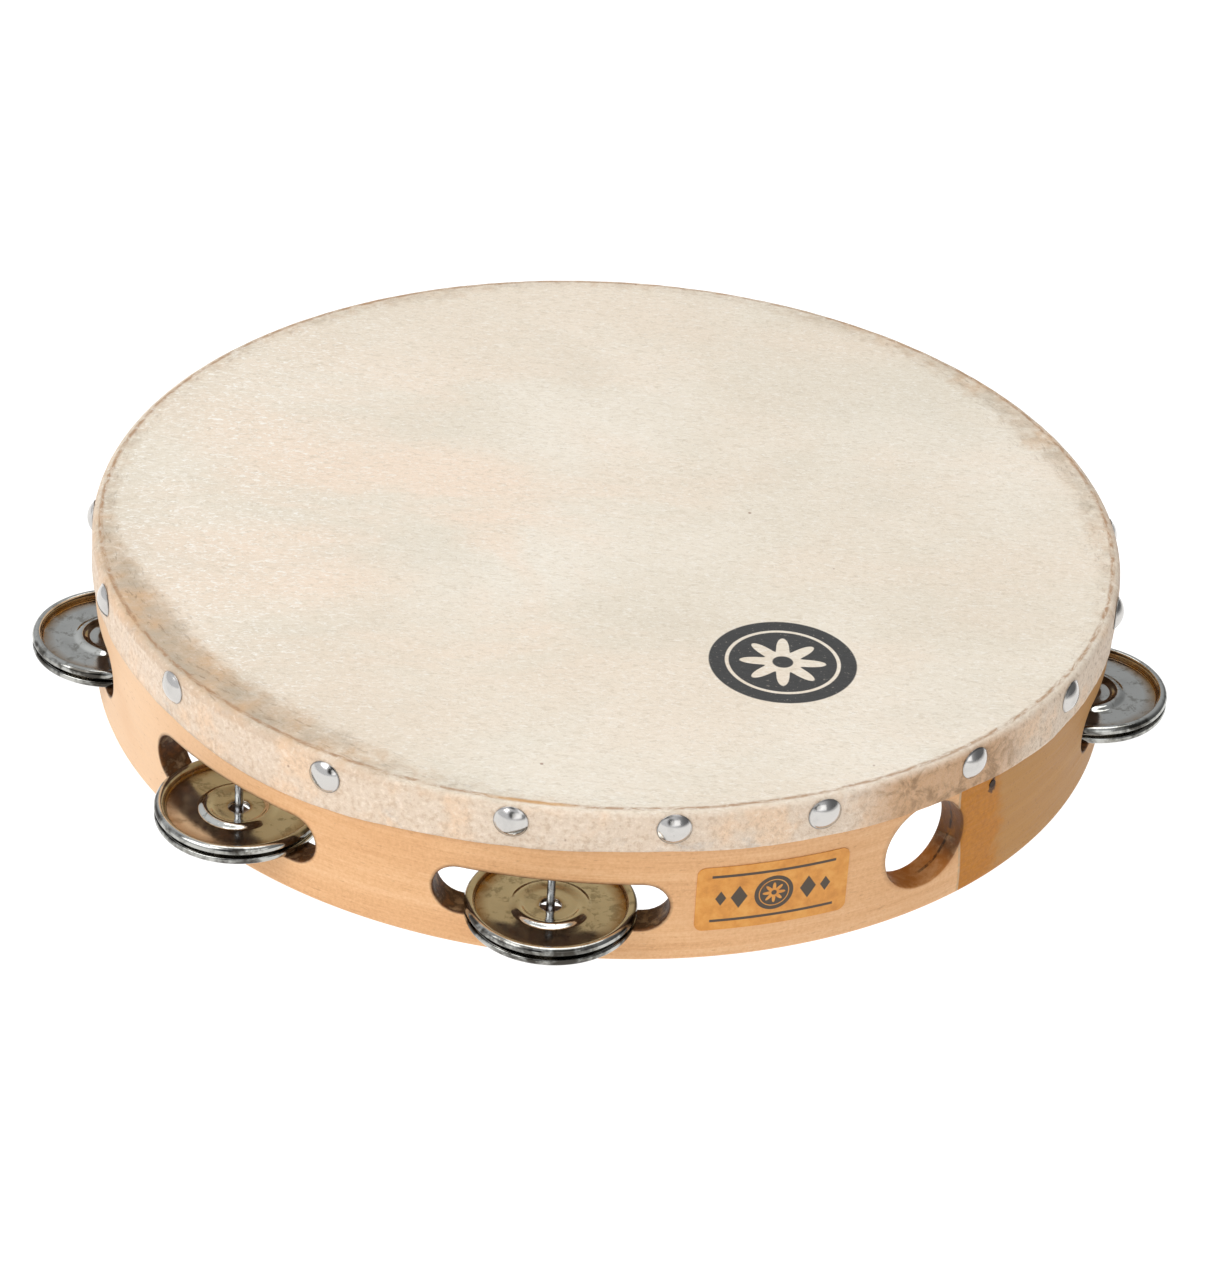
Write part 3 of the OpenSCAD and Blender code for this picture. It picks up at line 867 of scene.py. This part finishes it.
# ---------------------------------------------------------------- floor, light and camera
def build_stage():
    """A pale floor that glows a little, so that it stays white inside the drum and through its openings."""
    size, drop = 3.0, 0.3 * MM
    verts = [(sx * size, sy * size, -drop) for sx, sy in ((-1, -1), (1, -1), (1, 1), (-1, 1))]
    mesh = bpy.data.meshes.new("floor")
    mesh.from_pydata(verts, [], [(0, 1, 2, 3)])
    floor = bpy.data.objects.new("floor", mesh)
    bpy.context.scene.collection.objects.link(floor)
    m = Mat("floor_paper", Roughness=0.9)
    x, y, _ = m.split()
    m.shader.inputs["Emission Color"].default_value = (1, 1, 1, 1)
    glow = m.band(m.length(x, y), 112 * MM, 118 * MM, 1.2, 1.02)
    m.feed(m.shader.inputs["Emission Strength"], m.times(glow, m.band(x, 0.24, 0.4, 1.0, 0.45)))
    tone = m.noise(m.mapped(), 3.0, 2, 0.5)
    mesh.materials.append(m.finish(m.ramp(tone, (0.3, (108, 108, 108)), (0.7, (112, 112, 112)))))


def soft_light(name, place, target, size, power, tint=(255, 255, 255)):
    data = bpy.data.lights.new(name, "AREA")
    data.shape = "RECTANGLE"
    data.size, data.size_y = size
    data.energy = power
    data.color = colour(tint)[:3]
    light = bpy.data.objects.new(name, data)
    light.location = place
    light.rotation_euler = (Vector(target) - Vector(place)).to_track_quat("-Z", "Y").to_euler()
    bpy.context.scene.collection.objects.link(light)


def build_world():
    """Grey studio, bright at the front left, dim at the right, with a dark patch that the metal mirrors."""
    world = bpy.data.worlds.new("studio")
    bpy.context.scene.world = world
    world.use_nodes = True
    tree = world.node_tree
    direction = tree.nodes.new("ShaderNodeTexCoord").outputs["Generated"]

    def shade(az, rise, start, end, from_value, to_value):
        """Strength that goes from one value to another as the direction turns away from a point of the sky."""
        a, e = math.radians(az), math.radians(rise)
        dot = tree.nodes.new("ShaderNodeVectorMath")
        dot.operation = "DOT_PRODUCT"
        tree.links.new(direction, dot.inputs[0])
        dot.inputs[1].default_value = (math.cos(e) * math.sin(a), -math.cos(e) * math.cos(a), math.sin(e))
        fade = tree.nodes.new("ShaderNodeMapRange")
        fade.interpolation_type = "SMOOTHSTEP"
        tree.links.new(dot.outputs["Value"], fade.inputs["Value"])
        limits = (math.cos(math.radians(end)), math.cos(math.radians(start)), to_value, from_value)
        for socket, value in zip(list(fade.inputs)[1:5], limits):
            socket.default_value = value
        return fade.outputs[0]

    strength = shade(-53, 0, 40, 140, 0.9, 0.42)
    for patch in (shade(-8, 24, 11, 21, 0.05, 1.0), shade(95, 5, 15, 75, 0.45, 1.0)):
        both = tree.nodes.new("ShaderNodeMath")
        both.operation = "MULTIPLY"
        tree.links.new(strength, both.inputs[0])
        tree.links.new(patch, both.inputs[1])
        strength = both.outputs[0]
    background = tree.nodes["Background"]
    background.inputs[0].default_value = (0.89, 0.91, 0.95, 1)
    tree.links.new(strength, background.inputs[1])


def build_light():
    soft_light("front", (0.3, -1.1, 0.4), (0, -0.1, 0.02), (0.9, 0.5), 1.3)
    soft_light("key", (-0.75, -0.55, 0.95), (0, 0, 0.02), (0.8, 0.8), 5.7)
    soft_light("top", (0.1, 0.2, 1.3), (0, 0, 0.03), (1.0, 1.0), 6.6)


def build_camera():
    """Three-quarter view from the front, a little above, with the hoop leaning slightly to the right."""
    distance = 1.030
    elevation, roll = math.radians(31.96), math.radians(3.41)
    up_shift, side_shift = math.tan(math.radians(-0.72)), math.tan(math.radians(0.04))
    data = bpy.data.cameras.new("camera")
    data.lens = 115.6
    data.sensor_width = 36
    camera = bpy.data.objects.new("camera", data)
    centre = Vector((0, 0, TOP_Z / 2))
    back = Vector((0, -math.cos(elevation), math.sin(elevation)))
    right = Vector((1, 0, 0))
    up = back.cross(right)
    look = (-back + up * up_shift + right * side_shift).normalized()
    camera.location = centre + back * distance
    side = look.cross(Vector((0, 0, 1))).normalized()
    top = side.cross(look)
    side, top = side * math.cos(roll) + top * math.sin(roll), top * math.cos(roll) - side * math.sin(roll)
    camera.rotation_euler = Matrix((side, top, -look)).transposed().to_euler()
    bpy.context.scene.collection.objects.link(camera)
    bpy.context.scene.camera = camera


build_stage()
build_world()
build_light()
build_camera()
bpy.context.scene.view_settings.view_transform = "Standard"
